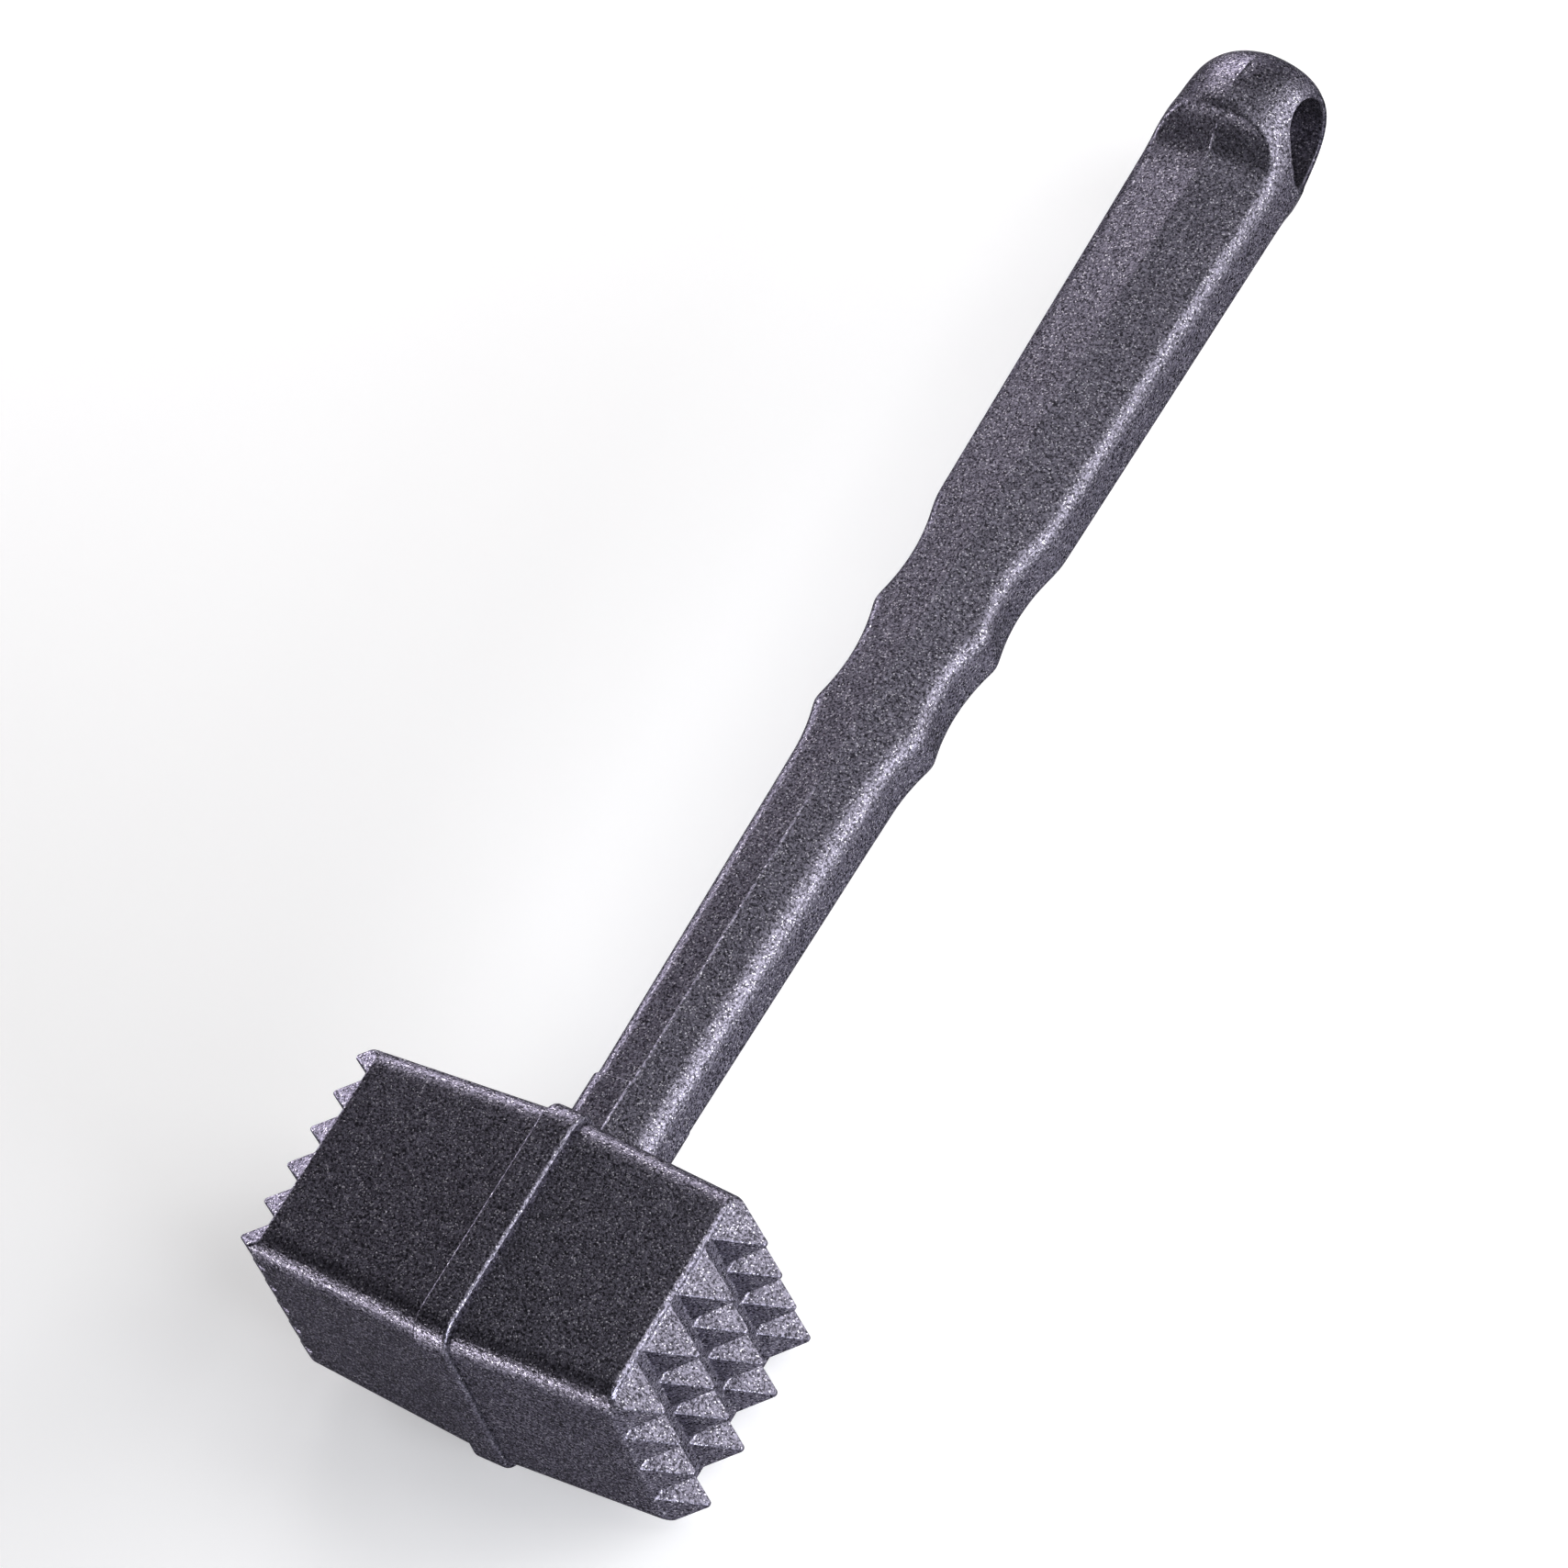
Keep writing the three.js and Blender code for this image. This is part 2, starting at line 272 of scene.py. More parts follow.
def smooth_step(value, low, high):
    share = np.clip((value - low) / (high - low), 0, 1)
    return share * share * (3 - 2 * share)


def profile(table, y):
    points = np.array(table, float)
    return np.interp(y, points[:, 0], points[:, 1])


def add_mesh(name, points_mm, faces):
    """A mesh object from points in millimetres about the handle's axis."""
    points = np.array(points_mm, float)
    points[:, 2] += AXIS_Z
    mesh = bpy.data.meshes.new(name)
    mesh.from_pydata((points * MM).tolist(), [], faces)
    obj = bpy.data.objects.new(name, mesh)
    bpy.context.scene.collection.objects.link(obj)
    return obj


def clean_mesh(obj, sharp_deg):
    """Welds, fixes the normals, and shades smooth with the sharp edges kept."""
    build = bmesh.new()
    build.from_mesh(obj.data)
    bmesh.ops.remove_doubles(build, verts=build.verts, dist=WELD_MM * MM)
    bmesh.ops.dissolve_degenerate(build, edges=build.edges, dist=WELD_MM * MM)
    bmesh.ops.recalc_face_normals(build, faces=build.faces)
    for face in build.faces:
        face.smooth = True
    limit = math.radians(sharp_deg)
    for edge in build.edges:
        if len(edge.link_faces) == 2:
            edge.smooth = edge.calc_face_angle(0) < limit
    build.to_mesh(obj.data)
    build.free()
    obj.data.update()


def weigh_normals(obj):
    """Flat faces stay flat beside the narrow rounded strips."""
    modifier = obj.modifiers.new("weighted_normals", "WEIGHTED_NORMAL")
    modifier.keep_sharp = True


def apply_boolean(obj, other, operation):
    """Cuts or joins the other mesh and removes it."""
    modifier = obj.modifiers.new("shape", "BOOLEAN")
    modifier.operation = operation
    modifier.solver = "EXACT"
    modifier.object = other
    bpy.context.view_layer.update()
    evaluated = obj.evaluated_get(bpy.context.evaluated_depsgraph_get())
    mesh = bpy.data.meshes.new_from_object(evaluated)
    obj.modifiers.clear()
    obj.data = mesh
    bpy.data.objects.remove(other, do_unlink=True)


def loft_faces(rings, count):
    """Faces of a closed loft, with a cap at each end."""
    faces = []
    for i in range(rings - 1):
        for k in range(count):
            a = i * count + k
            b = i * count + (k + 1) % count
            faces.append((a, b, b + count, a + count))
    faces.append(tuple(range(count - 1, -1, -1)))
    faces.append(tuple(range((rings - 1) * count, rings * count)))
    return faces


# Handle: its section holds the points with |x| below the half-width and |z| below the half-height


def handle_half_width(y):
    """Half-width of the shank, the crests with their grooves, and the grip."""
    first = SHANK_END + CREST_PITCH / 2
    last = first + (CREST_COUNT - 1) * CREST_PITCH
    slope = (LAST_CREST_HALF_WIDTH - FIRST_CREST_HALF_WIDTH) / (last - first)
    crest_line = FIRST_CREST_HALF_WIDTH + slope * (y - first)
    shank_end_width = FIRST_CREST_HALF_WIDTH - slope * CREST_PITCH / 2 - GROOVE_DEPTH
    shank_line = np.interp(y, (COLLAR_TOP, SHANK_END), (SHANK_HALF_WIDTH, shank_end_width))
    width = np.interp(y, (last, GRIP_END), (LAST_CREST_HALF_WIDTH, GRIP_HALF_WIDTH))
    for k in range(CREST_COUNT):
        across = (y - SHANK_END - k * CREST_PITCH) / (CREST_PITCH / 2)
        groove = crest_line - GROOVE_DEPTH * (1 - across * across)
        if k == 0:
            groove = np.where(y < SHANK_END, shank_line, groove)
        width = smooth_min(width, groove, CREST_ROUND)
    return width


def end_half_width(y):
    """The handle's half-width, drawn in round the outer end."""
    across = np.clip((y - BULB_Y) / BULB_FRONT, 0, 1)
    rounding = (1 - across**END_ROUND_POWER) ** (1 / END_ROUND_POWER)
    return handle_half_width(y) * rounding


def bar_half_height(x, y, grow_x=0, grow_z=0):
    """Half-height of the faceted bar alone, with its rounded side corners."""
    width = handle_half_width(y) + grow_x
    ridge = profile(RIDGE_PROFILE, y) + grow_z
    side = profile(SIDE_PROFILE, y)
    tilt = math.atan(FACET_SLOPE)
    radius = (ridge - side - FACET_SLOPE * width) / (1 / math.cos(tilt) - FACET_SLOPE)
    start = width - radius
    over = np.clip(x - start, 0, radius)
    corner = side + np.sqrt(radius * radius - over * over)
    corner_centre_height = ridge - FACET_SLOPE * start - radius / math.cos(tilt) - side
    corner = corner + corner_centre_height
    return np.where(x > start + radius * math.sin(tilt), corner, ridge - FACET_SLOPE * x)


def bulb_half_height(x, y):
    """Half-height of the bulb round the hang hole, with a straight slope behind it."""
    back = np.clip(BULB_Y - y, 0, BULB_BACK_LIMIT) / BULB_BACK
    front = np.clip((y - BULB_Y) / BULB_FRONT, 0, 1)
    limit = BULB_BACK_LIMIT / BULB_BACK
    slope = BULB_HALF_HEIGHT / BULB_BACK * limit / math.sqrt(1 - limit * limit)
    ridge = BULB_HALF_HEIGHT * np.sqrt(1 - back * back)
    ridge = ridge - slope * np.maximum(BULB_Y - BULB_BACK_LIMIT - y, 0)
    ridge = ridge * (1 - front**BULB_FRONT_POWER) ** (1 / BULB_FRONT_POWER)
    across = np.clip(x / np.maximum(end_half_width(y), WELD_MM), 0, 1)
    past_foot = smooth_step(y, BULB_FOOT_START, BULB_FOOT_END)
    power = BULB_FOOT_POWER + (BULB_SECTION_POWER - BULB_FOOT_POWER) * past_foot
    section = (1 - across**power) ** (1 / power)
    return ridge * section - BULB_ROOF_SLOPE * x * (1 - across)


def cove_half_height(x, y):
    """Half-height of the cove: it leaves the facets on an arc and then stands steep."""
    eased = smooth_max(y - COVE_START, 0, COVE_EASE)
    along = np.minimum(eased, COVE_RADIUS)
    rise = COVE_RADIUS - np.sqrt(COVE_RADIUS**2 - along * along)
    past = np.maximum(y - COVE_START - COVE_RADIUS, 0)
    return profile(RIDGE_PROFILE, y) - FACET_SLOPE * x + rise + past * COVE_RADIUS


def bead_height(x, y):
    """Height of the mould's bead: full on the shank, low on the grip, clear again at the knob."""
    fade = 1 - (1 - BEAD_GRIP_SHARE) * smooth_step(y, BEAD_FADE_START, BEAD_FADE_END)
    regrow = (BEAD_KNOB_SHARE - BEAD_GRIP_SHARE) * smooth_step(y, BEAD_KNOB_START, BEAD_KNOB_END)
    fade = fade + regrow
    return BEAD_HEIGHT * fade * np.exp(-((x / BEAD_HALF_WIDTH) ** 2))


def handle_half_height(x, y):
    """Half-height of the whole handle: the bar, which the knob takes over past the cove."""
    bar = bar_half_height(x, y)
    fading_bar = bar * (1 - smooth_step(y, BAR_FADE_START, BAR_FADE_END))
    knob = smooth_min(bulb_half_height(x, y), cove_half_height(x, y), CREST_SOFTNESS)
    sideways = smooth_step(x, FLARE_SIDE_START, FLARE_SIDE_END)
    softness = FLARE_SOFTNESS + (FLARE_SIDE_SOFTNESS - FLARE_SOFTNESS) * sideways
    flared = smooth_max(fading_bar, knob, softness)
    share = smooth_step(y, COVE_START - COVE_EASE, COVE_START + 2 * COVE_EASE)
    end = smooth_step(y, BULB_Y + BULB_FRONT, BULB_Y + BULB_FRONT / 2)
    return bar + (flared - bar) * share + bead_height(x, y) * end


def collar_half_height(x, y):
    return bar_half_height(x, y, COLLAR_GROW_X, COLLAR_GROW_Z) + bead_height(x, y)


def ray_angles():
    """Angles round the handle's axis, closest at its side corners and along its ridge."""
    zones = [np.arange(low, high - step / 2, step) for low, high, step in RAY_ZONES_DEG]
    quarter = np.concatenate(zones)
    half = np.concatenate([quarter, [90], 180 - quarter[::-1]])
    return np.radians(np.concatenate([half[:-1], half[:-1] + 180]))


def ray_length(angle, y, half_width, half_height):
    """Distance from the handle's axis to the skin, by halving steps along each ray."""
    across = np.abs(np.cos(angle))
    up = np.abs(np.sin(angle))
    low = np.zeros(np.broadcast(angle, y).shape)
    high = np.full_like(low, BULB_HALF_HEIGHT + GRIP_HALF_WIDTH)
    for _ in range(HALVINGS):
        middle = (low + high) / 2
        x = middle * across
        inside = (x < half_width(y)) & (middle * up < half_height(x, y))
        low = np.where(inside, middle, low)
        high = np.where(inside, high, middle)
    return low


def handle_stations():
    """Places along Y of the handle's rings, closer together where it curves."""
    crests_end = SHANK_END + CREST_COUNT * CREST_PITCH
    knob_start = COVE_START - 2 * COVE_EASE
    shank = np.arange(COLLAR_TOP - COLLAR_ROUND * 2, SHANK_END, SHANK_STEP)
    wavy = np.arange(SHANK_END, crests_end, WAVE_STEP)
    grip = np.arange(crests_end, knob_start, SHANK_STEP)
    knob = np.arange(knob_start, BULB_Y, KNOB_STEP)
    turn = np.linspace(0, math.pi / 2, END_RINGS + 1)[:-1]
    end = BULB_Y + BULB_FRONT * np.sin(turn)
    return np.concatenate([shank, wavy, grip, knob, end])


def ring_points(y, radius, angle, shift):
    """Points of all the rings, moved along X by the shift."""
    points = np.zeros((len(y), len(angle), 3))
    points[:, :, 0] = radius * np.cos(angle) + shift
    points[:, :, 1] = y[:, None]
    points[:, :, 2] = radius * np.sin(angle)
    return points.reshape(-1, 3)


def skin_x(y, z):
    """Where a line along X leaves the handle's skin, at each (y, z)."""
    low = np.zeros(np.shape(y))
    high = np.full_like(low, GRIP_HALF_WIDTH + SEARCH_MARGIN)
    for _ in range(HALVINGS):
        middle = (low + high) / 2
        inside = (middle < end_half_width(y)) & (np.abs(z) < handle_half_height(middle, y))
        low = np.where(inside, middle, low)
        high = np.where(inside, high, middle)
    return low


def hole_cutter():
    """An oval bar along X whose two ends flare along the knob's skin, for a rounded rim."""
    angle = np.linspace(0, 2 * math.pi, HOLE_SIDES, endpoint=False)
    out_y = np.cos(angle) / HOLE_HALF_Y
    out_z = np.sin(angle) / HOLE_HALF_Z
    length = np.hypot(out_y, out_z)
    flare = []
    for share in HOLE_FLARE_SHARES:
        grow = HOLE_ROUND * share
        depth = HOLE_ROUND - math.sqrt(HOLE_ROUND**2 - grow**2)
        y = HOLE_Y + HOLE_HALF_Y * np.cos(angle) + grow * out_y / length
        z = HOLE_HALF_Z * np.sin(angle) + grow * out_z / length
        flare.append((skin_x(y, z) - HOLE_ROUND + depth, y, z))
    over = (np.full(HOLE_SIDES, GRIP_HALF_WIDTH + HOLE_OVERRUN), flare[0][1], flare[0][2])
    right = [over] + flare
    left = [(-x, y, z) for x, y, z in reversed(right)]
    rings = [np.stack(ring, axis=1) for ring in right + left]
    cutter = add_mesh("cutter", np.concatenate(rings), loft_faces(len(rings), HOLE_SIDES))
    clean_mesh(cutter, BODY_SHARP_DEG)
    return cutter


def make_handle():
    angle = ray_angles()
    y = handle_stations()
    radius = ray_length(angle[None, :], y[:, None], end_half_width, handle_half_height)
    points = ring_points(y, radius, angle, 0)
    obj = add_mesh("grip_casting", points, loft_faces(len(y), len(angle)))
    clean_mesh(obj, BODY_SHARP_DEG)
    apply_boolean(obj, hole_cutter(), "DIFFERENCE")
    clean_mesh(obj, BODY_SHARP_DEG)
    return obj


# Head


def rounded_outline(half_y, half_z, radius):
    """Points round a rectangle with round corners."""
    points = []
    for quadrant in range(4):
        start = quadrant * math.pi / 2
        y_sign = 1 if quadrant in (0, 3) else -1
        z_sign = 1 if quadrant in (0, 1) else -1
        corner = Vector((y_sign * (half_y - radius), z_sign * (half_z - radius)))
        for k in range(CORNER_STEPS + 1):
            turn = start + k / CORNER_STEPS * math.pi / 2
            points.append(corner + radius * Vector((math.cos(turn), math.sin(turn))))
        next_half = half_z if quadrant % 2 else half_y
        side = 2 * (next_half - radius)
        ahead = Vector((math.cos(start + math.pi), math.sin(start + math.pi)))
        last = points[-1].copy()
        for k in range(1, SIDE_STEPS):
            points.append(last + ahead * side * k / SIDE_STEPS)
    return np.array([tuple(point) for point in points])


def make_band():
    """The centre band: a rounded outline drawn along X, with both its edges rounded."""
    stations = [(BAND_LOW_X, BAND_DEPTH)]
    for k in range(EDGE_STEPS + 1):
        turn = k / EDGE_STEPS * math.pi / 2
        drop = BAND_LOW_ROUND * (1 - math.sin(turn))
        stations.append((BAND_LOW_X + BAND_LOW_ROUND * (1 - math.cos(turn)), drop))
    for k in range(EDGE_STEPS + 1):
        turn = k / EDGE_STEPS * math.pi / 2
        drop = BAND_HIGH_ROUND * (1 - math.cos(turn))
        stations.append((BAND_HIGH_X - BAND_HIGH_ROUND * (1 - math.sin(turn)), drop))
    stations.append((BAND_HIGH_X, BAND_DEPTH))
    rings = []
    for x, drop in stations:
        outline = rounded_outline(BAND_HALF_Y - drop, BAND_HALF_Z - drop, BAND_CORNER - drop)
        rings.append(np.column_stack([np.full(len(outline), x), outline]))
    return add_mesh("yoke_casting", np.concatenate(rings), loft_faces(len(rings), len(rings[0])))


def make_collar():
    angle = ray_angles()
    turns = np.linspace(0, math.pi / 2, EDGE_STEPS + 1)
    y = np.concatenate([[COLLAR_FOOT], COLLAR_TOP - COLLAR_ROUND * (1 - np.sin(turns))])
    drop = np.concatenate([[0], COLLAR_ROUND * (1 - np.cos(turns))])
    low_y = np.maximum(y, COLLAR_TOP)
    radius = ray_length(
        angle[None, :],
        low_y[:, None],
        lambda at: handle_half_width(at) + COLLAR_GROW_X,
        collar_half_height,
    )
    points = ring_points(y, radius - drop[:, None], angle, COLLAR_SHIFT)
    return add_mesh("collar", points, loft_faces(len(y), len(angle)))


def make_yoke():
    obj = make_band()
    collar = make_collar()
    clean_mesh(obj, BODY_SHARP_DEG)
    clean_mesh(collar, BODY_SHARP_DEG)
    apply_boolean(obj, collar, "UNION")
    clean_mesh(obj, BODY_SHARP_DEG)
    weigh_normals(obj)
    return obj


def soft_corner(before, corner, after, length):
    """Points of a short curve that rounds a corner between two straight lines."""
    start = corner + (before - corner).normalized() * length
    end = corner + (after - corner).normalized() * length
    points = []
    for share in TOOTH_ARC_SHARES:
        points.append(start.lerp(corner, share).lerp(corner.lerp(end, share), share))
    return points


def tooth_profile(spec):
    """Distance from a tooth's axis, and reach along X, from its tip to the valley floor."""
    tip = Vector((spec["tip_width"] / 2, spec["tip"]))
    base = Vector(((spec["pitch"] - spec["valley"]) / 2, spec["floor"]))
    axis = Vector((0, spec["tip"]))
    beyond = Vector((spec["pitch"] / 2, spec["floor"]))
    points = soft_corner(axis, tip, base, spec["tip_round"])
    points += soft_corner(tip, base, beyond, spec["valley_round"])
    return points


def tooth_centres(spec):
    """Places of the teeth's axes, the same along Y and along Z."""
    return [(k - (spec["count"] - 1) / 2) * spec["pitch"] for k in range(spec["count"])]


def rim_sizes(spec, share):
    """Half-sizes and corner radius of the face's outline, moved in by a share of the rim."""
    half_y = spec["half_y"] - share * spec["rim_y"]
    half_z = spec["half_z"] - share * spec["rim_z"]
    return half_y, half_z, FLANK_CORNER - share * spec["rim_y"]


def inset(spec, y, z, share=0):
    """Distance from a point of the face in to the outline, itself moved in by a share."""
    half_y, half_z, radius = rim_sizes(spec, share)
    over_y = np.abs(y) - half_y + radius
    over_z = np.abs(z) - half_z + radius
    outside = np.hypot(np.maximum(over_y, 0), np.maximum(over_z, 0))
    return radius - outside - np.minimum(np.maximum(over_y, over_z), 0)


def rim_share(spec, y, z):
    """How far in across the rim each point lies, from 0 at the outline to 1 past the rim."""
    low = np.zeros(len(y))
    high = np.ones(len(y))
    for _ in range(HALVINGS):
        middle = (low + high) / 2
        inside = inset(spec, y, z, middle) > 0
        low = np.where(inside, middle, low)
        high = np.where(inside, high, middle)
    return low


def tooth_reach(spec, y, z):
    """Reach of the toothed face along X at each point."""
    centres = np.array(tooth_centres(spec))
    off_y = np.min(np.abs(y[:, None] - centres), axis=1)
    off_z = np.min(np.abs(z[:, None] - centres), axis=1)
    distance = smooth_max(off_y, off_z, spec["hip_round"])
    shape = tooth_profile(spec)
    reach = np.interp(distance, [point.x for point in shape], [point.y for point in shape])
    left = 1 - rim_share(spec, y, z)
    return reach - spec["rim_z"] * (1 - (1 - left**RIM_POWER) ** (1 / RIM_POWER))


def face_lines(spec):
    """Points and lines of the tooth face: rims, the squares round each tooth, and its hips."""
    points = []
    lines = []

    def add_path(path, closed):
        first = len(points)
        points.extend(Vector(point) for point in path)
        lines.extend((first + k, first + k + 1) for k in range(len(path) - 1))
        if closed:
            lines.append((first + len(path) - 1, first))

    for degrees in RIM_ARC_DEG:
        share = 1 - math.cos(math.radians(degrees))
        add_path(rounded_outline(*rim_sizes(spec, share)).tolist(), True)
    sizes = [point.x for point in tooth_profile(spec)]
    for y in tooth_centres(spec):
        for z in tooth_centres(spec):
            for size in sizes:
                corners = [(y - size, z - size), (y + size, z - size)]
                corners += [(y + size, z + size), (y - size, z + size)]
                add_path(corners, True)
            for y_sign in (-1, 1):
                for z_sign in (-1, 1):
                    for share in HIP_LINE_SHARES:
                        off = spec["hip_round"] * share
                        ends = [(size - off, size) for size in (sizes[1], sizes[-1])]
                        add_path([(y + y_sign * a, z + z_sign * b) for a, b in ends], False)
                        if share:
                            add_path([(y + y_sign * b, z + z_sign * a) for a, b in ends], False)
    return points, lines


def make_block(name, spec):
    """A striking block: its toothed face, the rounded rim, the flanks and a back cap."""
    points, lines = face_lines(spec)
    spots, _, triangles, _, _, _ = delaunay_2d_cdt(points, lines, [], 0, WELD_MM)
    spots = np.array([tuple(spot) for spot in spots])
    centres = np.array([spots[list(corner)].mean(axis=0) for corner in triangles])
    inside = inset(spec, centres[:, 0], centres[:, 1]) > WELD_MM
    kept = [tuple(corner) for corner, keep in zip(triangles, inside) if keep]
    reach = tooth_reach(spec, spots[:, 0], spots[:, 1])
    face = np.column_stack([spec["side"] * reach, spots])
    obj = add_mesh(name, face, kept)
    close_block(obj, spec)
    clean_mesh(obj, TOOTH_SHARP_DEG)
    weigh_normals(obj)
    return obj


def close_block(obj, spec):
    """Draws the flanks from the rim back to the block's root, and caps it."""
    build = bmesh.new()
    build.from_mesh(obj.data)
    loose = [vert for vert in build.verts if not vert.link_faces]
    bmesh.ops.delete(build, geom=loose, context="VERTS")
    rim = [edge for edge in build.edges if edge.is_boundary]
    grown = bmesh.ops.extrude_edge_only(build, edges=rim)["geom"]
    for vert in grown:
        if isinstance(vert, bmesh.types.BMVert):
            vert.co.x = ROOT_CENTRE_X * MM
            vert.co.y *= ROOT_HALF_Y / spec["half_y"]
            vert.co.z = (vert.co.z - AXIS_Z * MM) * ROOT_HALF_Z / spec["half_z"] + AXIS_Z * MM
    back = [edge for edge in build.edges if edge.is_boundary]
    bmesh.ops.edgeloop_fill(build, edges=back)
    build.to_mesh(obj.data)
    build.free()


# Materials


def add_node(tree, kind, inputs=None, **settings):
    node = tree.nodes.new(kind)
    for name, value in settings.items():
        setattr(node, name, value)
    for name, value in (inputs or {}).items():
        if isinstance(value, bpy.types.NodeSocket):
            tree.links.new(value, node.inputs[name])
        else:
            node.inputs[name].default_value = value
    return node


def make_coat():
    """Anthracite metallic coat: a fine wrinkled skin with glittering flakes, with painted shade
    in the wrinkles' pits and painted light on their tops.
    """
    material = bpy.data.materials.new("anthracite_coat")
    material.use_nodes = True
    tree = material.node_tree
    shader = tree.nodes["Principled BSDF"]
    coords = add_node(tree, "ShaderNodeTexCoord").outputs["Object"]
    grain = add_node(
        tree,
        "ShaderNodeTexNoise",
        {
            "Vector": coords,
            "Scale": GRAIN_SCALE,
            "Detail": GRAIN_DETAIL,
            "Roughness": GRAIN_ROUGHNESS,
            "Distortion": GRAIN_DISTORTION,
        },
    )
    bump = add_node(
        tree,
        "ShaderNodeBump",
        {"Strength": 1.0, "Distance": GRAIN_DEPTH, "Height": grain.outputs["Fac"]},
    )
    flakes = add_node(tree, "ShaderNodeTexVoronoi", {"Vector": coords, "Scale": FLAKE_SCALE})
    draw = add_node(tree, "ShaderNodeSeparateColor", {"Color": flakes.outputs["Color"]})
    is_flake = add_node(
        tree,
        "ShaderNodeMath",
        {0: draw.outputs["Red"], 1: 1 - FLAKE_SHARE},
        operation="GREATER_THAN",
    )
    mottle = add_node(
        tree,
        "ShaderNodeTexNoise",
        {"Vector": coords, "Scale": MOTTLE_SCALE, "Detail": MOTTLE_DETAIL},
    )
    tone = add_node(
        tree,
        "ShaderNodeMapRange",
        {"Value": mottle.outputs["Fac"], "To Min": MOTTLE_RANGE[0], "To Max": MOTTLE_RANGE[1]},
    )
    # Painted shade in the grain's pits and painted light on its tops, from the same noise as the
    # bump, multiplied into the random mottle below
    grain_shade = add_node(
        tree,
        "ShaderNodeMapRange",
        {
            "Value": grain.outputs["Fac"],
            "From Min": GRAIN_SPREAD[0],
            "From Max": GRAIN_SPREAD[1],
            "To Min": GRAIN_SHADE_RANGE[0],
            "To Max": GRAIN_SHADE_RANGE[1],
        },
    )
    tone = add_node(
        tree,
        "ShaderNodeMath",
        {0: tone.outputs["Result"], 1: grain_shade.outputs["Result"]},
        operation="MULTIPLY",
    )
    paint = add_node(
        tree,
        "ShaderNodeVectorMath",
        {0: COAT_COLOUR, "Scale": tone.outputs["Value"]},
        operation="SCALE",
    )
    colour = add_node(
        tree,
        "ShaderNodeMix",
        {"Factor": is_flake.outputs["Value"], "A": paint.outputs["Vector"], "B": FLAKE_COLOUR},
        data_type="RGBA",
    )
    rough = add_node(
        tree,
        "ShaderNodeMapRange",
        {
            "Value": mottle.outputs["Fac"],
            "To Min": ROUGHNESS_RANGE[0],
            "To Max": ROUGHNESS_RANGE[1],
        },
    )
    shader.inputs["Metallic"].default_value = COAT_METALLIC
    shader.inputs["Specular Tint"].default_value = COAT_EDGE_TINT
    tree.links.new(colour.outputs["Result"], shader.inputs["Base Color"])
    tree.links.new(rough.outputs["Result"], shader.inputs["Roughness"])
    tree.links.new(bump.outputs["Normal"], shader.inputs["Normal"])
    return material


def make_steel(name, line_scale):
    """Turned steel: fine lines round a stud, close together along it."""
    material = bpy.data.materials.new(name)
    material.use_nodes = True
    tree = material.node_tree
    shader = tree.nodes["Principled BSDF"]
    coords = add_node(tree, "ShaderNodeTexCoord").outputs["Object"]
    stretched = add_node(
        tree, "ShaderNodeVectorMath", {0: coords, 1: line_scale}, operation="MULTIPLY"
    )
    lines = add_node(
        tree,
        "ShaderNodeTexNoise",
        {"Vector": stretched.outputs["Vector"], "Scale": 1.0, "Detail": STEEL_LINE_DETAIL},
    )
    tone = add_node(
        tree,
        "ShaderNodeMix",
        {"Factor": lines.outputs["Fac"], "A": STEEL_DARK, "B": STEEL_LIGHT},
        data_type="RGBA",
    )
    rough = add_node(
        tree,
        "ShaderNodeMapRange",
        {
            "Value": lines.outputs["Fac"],
            "To Min": STEEL_ROUGHNESS[0],
            "To Max": STEEL_ROUGHNESS[1],
        },
    )
    bump = add_node(
        tree,
        "ShaderNodeBump",
        {"Strength": 1.0, "Distance": STEEL_LINE_DEPTH, "Height": lines.outputs["Fac"]},
    )
    shader.inputs["Metallic"].default_value = 1
    tree.links.new(tone.outputs["Result"], shader.inputs["Base Color"])
    tree.links.new(rough.outputs["Result"], shader.inputs["Roughness"])
    tree.links.new(bump.outputs["Normal"], shader.inputs["Normal"])
    return material


def make_floor_paint():
    """Pale paint whose glow, seen only by the camera and in reflections, lifts it to white."""
    material = bpy.data.materials.new("floor_paint")
    material.use_nodes = True
    tree = material.node_tree
    shader = tree.nodes["Principled BSDF"]
    shader.inputs["Base Color"].default_value = FLOOR_COLOUR
    shader.inputs["Roughness"].default_value = FLOOR_ROUGHNESS
    shader.inputs["Specular IOR Level"].default_value = 0
    shader.inputs["Emission Color"].default_value = (1, 1, 1, 1)
    ray = add_node(tree, "ShaderNodeLightPath").outputs
    seen = ray["Is Camera Ray"]
    for kind in ("Is Glossy Ray", "Is Transmission Ray"):
        seen = add_node(
            tree, "ShaderNodeMath", {0: seen, 1: ray[kind]}, operation="MAXIMUM"
        ).outputs["Value"]
    glow = add_node(tree, "ShaderNodeMath", {0: seen, 1: FLOOR_GLOW}, operation="MULTIPLY")
    tree.links.new(glow.outputs["Value"], shader.inputs["Emission Strength"])
    return material


def make_floor():
    mesh = bpy.data.meshes.new("floor")
    half = FLOOR_HALF
    corners = [(-half, -half, 0), (half, -half, 0), (half, half, 0), (-half, half, 0)]
    mesh.from_pydata(corners, [], [(0, 1, 2, 3)])
    floor = bpy.data.objects.new("floor", mesh)
    bpy.context.scene.collection.objects.link(floor)
    floor.data.materials.append(make_floor_paint())


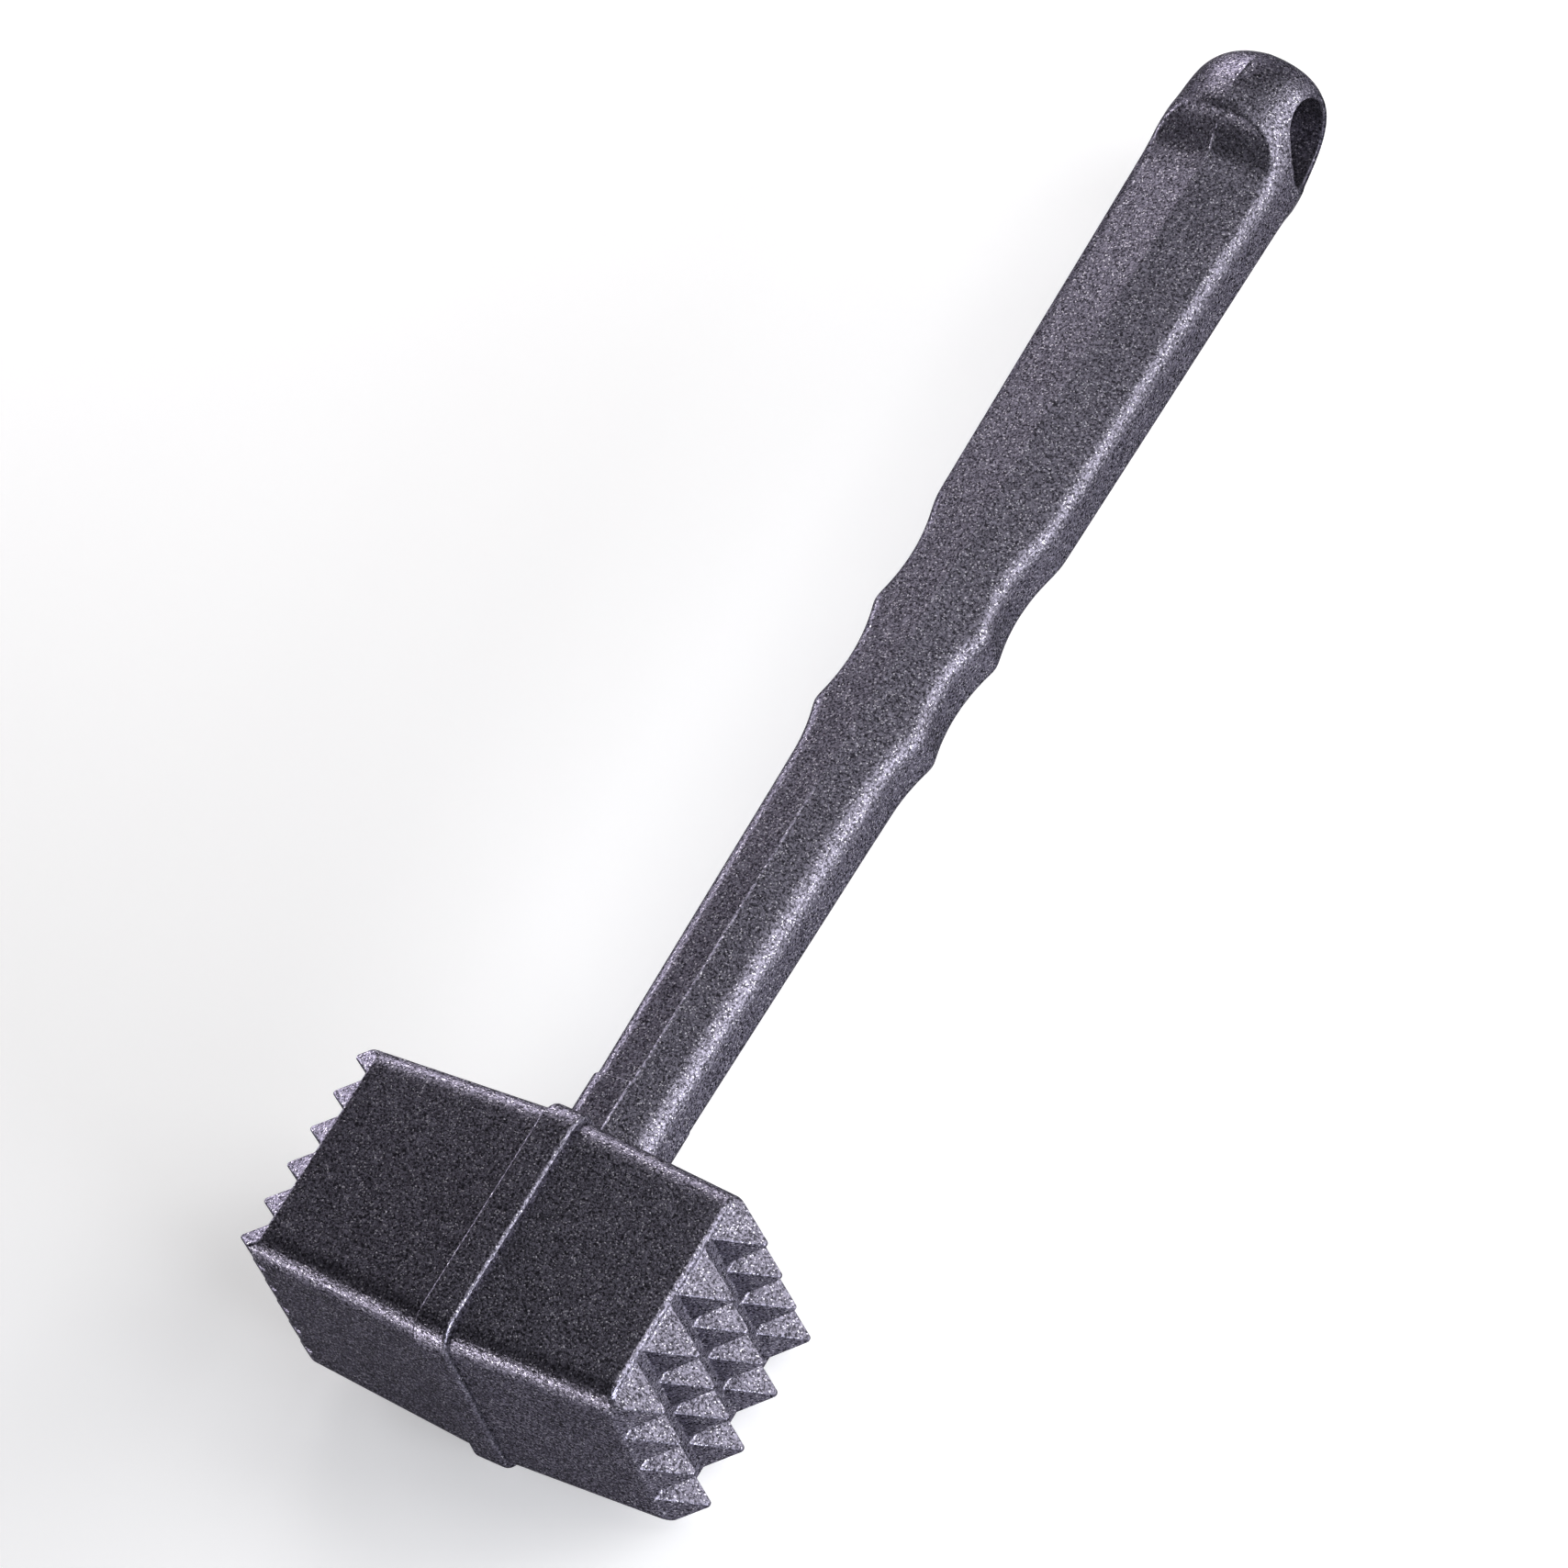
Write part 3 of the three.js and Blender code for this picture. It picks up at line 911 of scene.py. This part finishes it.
def make_world():
    """A studio room: bright low down, dark overhead."""
    world = bpy.data.worlds.new("studio")
    world.use_nodes = True
    tree = world.node_tree
    aim = add_node(tree, "ShaderNodeTexCoord").outputs["Generated"]
    height = add_node(tree, "ShaderNodeSeparateXYZ", {"Vector": aim}).outputs["Z"]
    share = add_node(
        tree,
        "ShaderNodeMapRange",
        {"Value": height, "From Min": 0, "From Max": HORIZON_RISE},
        interpolation_type="SMOOTHSTEP",
    )
    colour = add_node(
        tree,
        "ShaderNodeMix",
        {"Factor": share.outputs["Result"], "A": HORIZON_COLOUR, "B": ZENITH_COLOUR},
        data_type="RGBA",
    )
    tree.links.new(colour.outputs["Result"], tree.nodes["Background"].inputs["Color"])
    bpy.context.scene.world = world


def make_camera():
    """The camera that took the photograph."""
    data = bpy.data.cameras.new("camera")
    data.sensor_fit = "HORIZONTAL"
    data.sensor_width = SENSOR_WIDTH_MM
    data.lens = FOCAL_PIXELS / PHOTO_PIXELS * SENSOR_WIDTH_MM
    data.clip_end = CAMERA_REACH
    camera = bpy.data.objects.new("camera", data)
    bpy.context.scene.collection.objects.link(camera)
    axes = (Vector(CAMERA_RIGHT), -Vector(CAMERA_DOWN), -Vector(CAMERA_AHEAD))
    turn = Matrix(axes).transposed().to_4x4()
    camera.matrix_world = Matrix.Translation(CAMERA_PLACE) @ turn
    bpy.context.scene.camera = camera


def add_lamp(name, azimuth, elevation, distance, width, height, facing_y, radiance, colour):
    """A soft box that faces the mallet from the given direction."""
    data = bpy.data.lights.new(name, "AREA")
    data.shape = "RECTANGLE"
    data.size = width
    data.size_y = height
    data.energy = radiance * math.pi * width * height
    data.color = colour
    lamp = bpy.data.objects.new(name, data)
    bpy.context.scene.collection.objects.link(lamp)
    around = math.radians(azimuth)
    above = math.radians(elevation)
    level = math.cos(above)
    away = Vector((level * math.cos(around), level * math.sin(around), math.sin(above)))
    lamp.location = Vector((0, facing_y, AXIS_Z * MM)) + away * distance
    lamp.rotation_euler = away.to_track_quat("Z", "Y").to_euler()
    lamp.visible_camera = False


def place(piece, material, node):
    """Paints a piece and puts it in the place of its CAD node."""
    piece.data.materials.clear()
    piece.data.materials.append(material)
    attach(piece, "root")
    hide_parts(node)


bpy.context.scene.view_settings.view_transform = "Standard"
make_camera()
coat = make_coat()
place(make_handle(), coat, "handle")
place(make_yoke(), coat, "head_yoke")
place(make_block("coarse_striker", COARSE), coat, "coarse_block")
place(make_block("fine_striker", FINE), coat, "fine_block")
for stud, stud_lines in STUD_LINES.items():
    steel = make_steel(stud + "_steel", stud_lines)
    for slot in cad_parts[stud].material_slots:
        slot.material = steel
make_floor()
make_world()
for lamp_name, lamp_values in LAMPS.items():
    add_lamp(lamp_name, *lamp_values)
